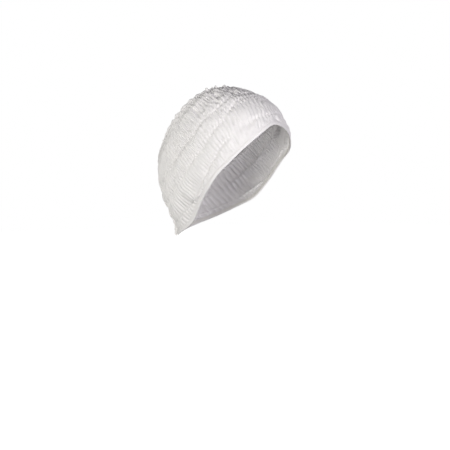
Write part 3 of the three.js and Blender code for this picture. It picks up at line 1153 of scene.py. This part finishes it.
# Name, degrees right of the camera, degrees up, distance and size in metres, power in watts, colour.
LIGHTS = (
    ("front_left_softbox", -25, -3, 2.0, 0.5, 22.0, WARM),
    ("front_right_softbox", 20, -3, 2.0, 0.5, 9.0, COOL),
    ("right_softbox", 50, 0, 2.0, 1.0, 11.5, COOL),
    ("right_high_softbox", 60, 40, 2.0, 1.0, 8.5, COOL),
    ("back_left_softbox", -100, 5, 2.0, 1.0, 11.0, WARM),
    ("back_right_softbox", 150, 10, 2.0, 1.0, 7.0, COOL),
)


class HEADBAND_OT_stage(bpy.types.Operator):
    """Makes the floor, the soft lights and the camera"""

    bl_idname = "headband.stage"
    bl_label = "Stage"

    def execute(self, context):
        scene = context.scene
        stage = scene.headband_stage
        low, high = CAD_BOX
        scene.view_settings.view_transform = "Standard"
        self.make_world(scene)
        self.make_floor(low.z - stage.floor_drop)
        right = Vector((math.cos(stage.azimuth), math.sin(stage.azimuth), 0.0))
        back = Vector((math.sin(stage.azimuth), -math.cos(stage.azimuth), 0.0))
        view = back * math.cos(stage.elevation) + Vector((0, 0, math.sin(stage.elevation)))
        up = view.cross(right)
        self.make_camera(scene, stage, right, up, view)
        for name, azimuth, elevation, distance, size, power, colour in LIGHTS:
            turn, rise = math.radians(azimuth), math.radians(elevation)
            level = back * math.cos(turn) + right * math.sin(turn)
            place = (level * math.cos(rise) + Vector((0, 0, math.sin(rise)))) * distance
            self.make_light(name, place, size, power, colour)
        return {"FINISHED"}

    @staticmethod
    def make_world(scene):
        world = bpy.data.worlds.new("studio")
        world.use_nodes = True
        nodes, links = world.node_tree.nodes, world.node_tree.links
        nodes.clear()
        rays = nodes.new("ShaderNodeLightPath")
        seen = nodes.new("ShaderNodeBackground")
        seen.inputs["Strength"].default_value = 1.0
        cast = nodes.new("ShaderNodeBackground")
        cast.inputs["Color"].default_value = (0.96, 0.97, 1.0, 1.0)
        cast.inputs["Strength"].default_value = AMBIENT
        mix = nodes.new("ShaderNodeMixShader")
        output = nodes.new("ShaderNodeOutputWorld")
        seen.inputs["Color"].default_value = (1.0, 1.0, 1.0, 1.0)
        links.new(rays.outputs["Is Camera Ray"], mix.inputs[0])
        links.new(cast.outputs[0], mix.inputs[1])
        links.new(seen.outputs[0], mix.inputs[2])
        links.new(mix.outputs[0], output.inputs[0])
        scene.world = world

    @staticmethod
    def make_floor(height):
        bm = bmesh.new()
        bmesh.ops.create_grid(bm, x_segments=1, y_segments=1, size=6.0)
        bmesh.ops.translate(bm, verts=bm.verts, vec=(0.0, 0.0, height))
        mesh = bpy.data.meshes.new("floor")
        bm.to_mesh(mesh)
        bm.free()
        floor = bpy.data.objects.new("floor", mesh)
        bpy.context.scene.collection.objects.link(floor)
        finish = Finish("floor_paper")
        place = finish.node("ShaderNodeTexCoord", output=3)
        far = finish.node("ShaderNodeVectorMath", {"operation": "LENGTH"}, place, output=1)
        white = finish.ramp(far, *FLOOR_FADE)
        glow = finish.blend(white, colour_of([0.8] * 3), colour_of([1.0] * 3))
        finish.shader.inputs["Base Color"].default_value = (0.9, 0.9, 0.9, 1.0)
        finish.shader.inputs["Roughness"].default_value = 0.9
        finish.tree.links.new(glow.socket, finish.shader.inputs["Emission Color"])
        finish.shader.inputs["Emission Strength"].default_value = 1.0
        floor.data.materials.append(finish.material)
        floor.visible_diffuse = False
        floor.visible_glossy = False

    @staticmethod
    def make_camera(scene, stage, right, up, view):
        data = bpy.data.cameras.new("camera")
        data.sensor_width = 36.0
        data.lens = data.sensor_width * stage.distance / stage.field
        camera = bpy.data.objects.new("camera", data)
        scene.collection.objects.link(camera)
        target = right * CAMERA_TARGET[0] + up * CAMERA_TARGET[1]
        camera.location = target + view * stage.distance
        camera.rotation_mode = "QUATERNION"
        camera.rotation_quaternion = view.to_track_quat("Z", "Y")
        scene.camera = camera

    @staticmethod
    def make_light(name, place, size, power, colour):
        data = bpy.data.lights.new(name, "AREA")
        data.shape = "SQUARE"
        data.size = size
        data.energy = power
        data.color = colour
        light = bpy.data.objects.new(name, data)
        bpy.context.scene.collection.objects.link(light)
        light.location = place
        light.rotation_mode = "QUATERNION"
        light.rotation_quaternion = Vector(place).to_track_quat("Z", "Y")


class HEADBAND_PT_pieces(bpy.types.Panel):
    """Lists the operators that make the headband"""

    bl_idname = "HEADBAND_PT_pieces"
    bl_label = "Headband"
    bl_space_type = "VIEW_3D"
    bl_region_type = "UI"
    bl_category = "Headband"

    def draw(self, context):
        for operator in OPERATORS:
            self.layout.operator(operator.bl_idname)


GROUPS = {
    "headband_cloth": ClothSizes,
    "headband_trim": TrimSizes,
    "headband_colours": FinishColours,
    "headband_stage": StageSettings,
}
OPERATORS = (
    HEADBAND_OT_finishes,
    HEADBAND_OT_pleated_cloth,
    HEADBAND_OT_hems,
    HEADBAND_OT_elastics,
    HEADBAND_OT_joining_seam,
    HEADBAND_OT_stage,
)


def register():
    for kind in (*GROUPS.values(), *OPERATORS, HEADBAND_PT_pieces):
        bpy.utils.register_class(kind)
    for name, group in GROUPS.items():
        setattr(bpy.types.Scene, name, PointerProperty(type=group))


def unregister():
    for name in GROUPS:
        delattr(bpy.types.Scene, name)
    for kind in reversed((*GROUPS.values(), *OPERATORS, HEADBAND_PT_pieces)):
        bpy.utils.unregister_class(kind)


def main():
    register()
    bpy.ops.headband.finishes()
    bpy.ops.headband.pleated_cloth()
    bpy.ops.headband.hems()
    bpy.ops.headband.elastics()
    bpy.ops.headband.joining_seam()
    bpy.ops.headband.stage()


if __name__ == "__main__":
    main()
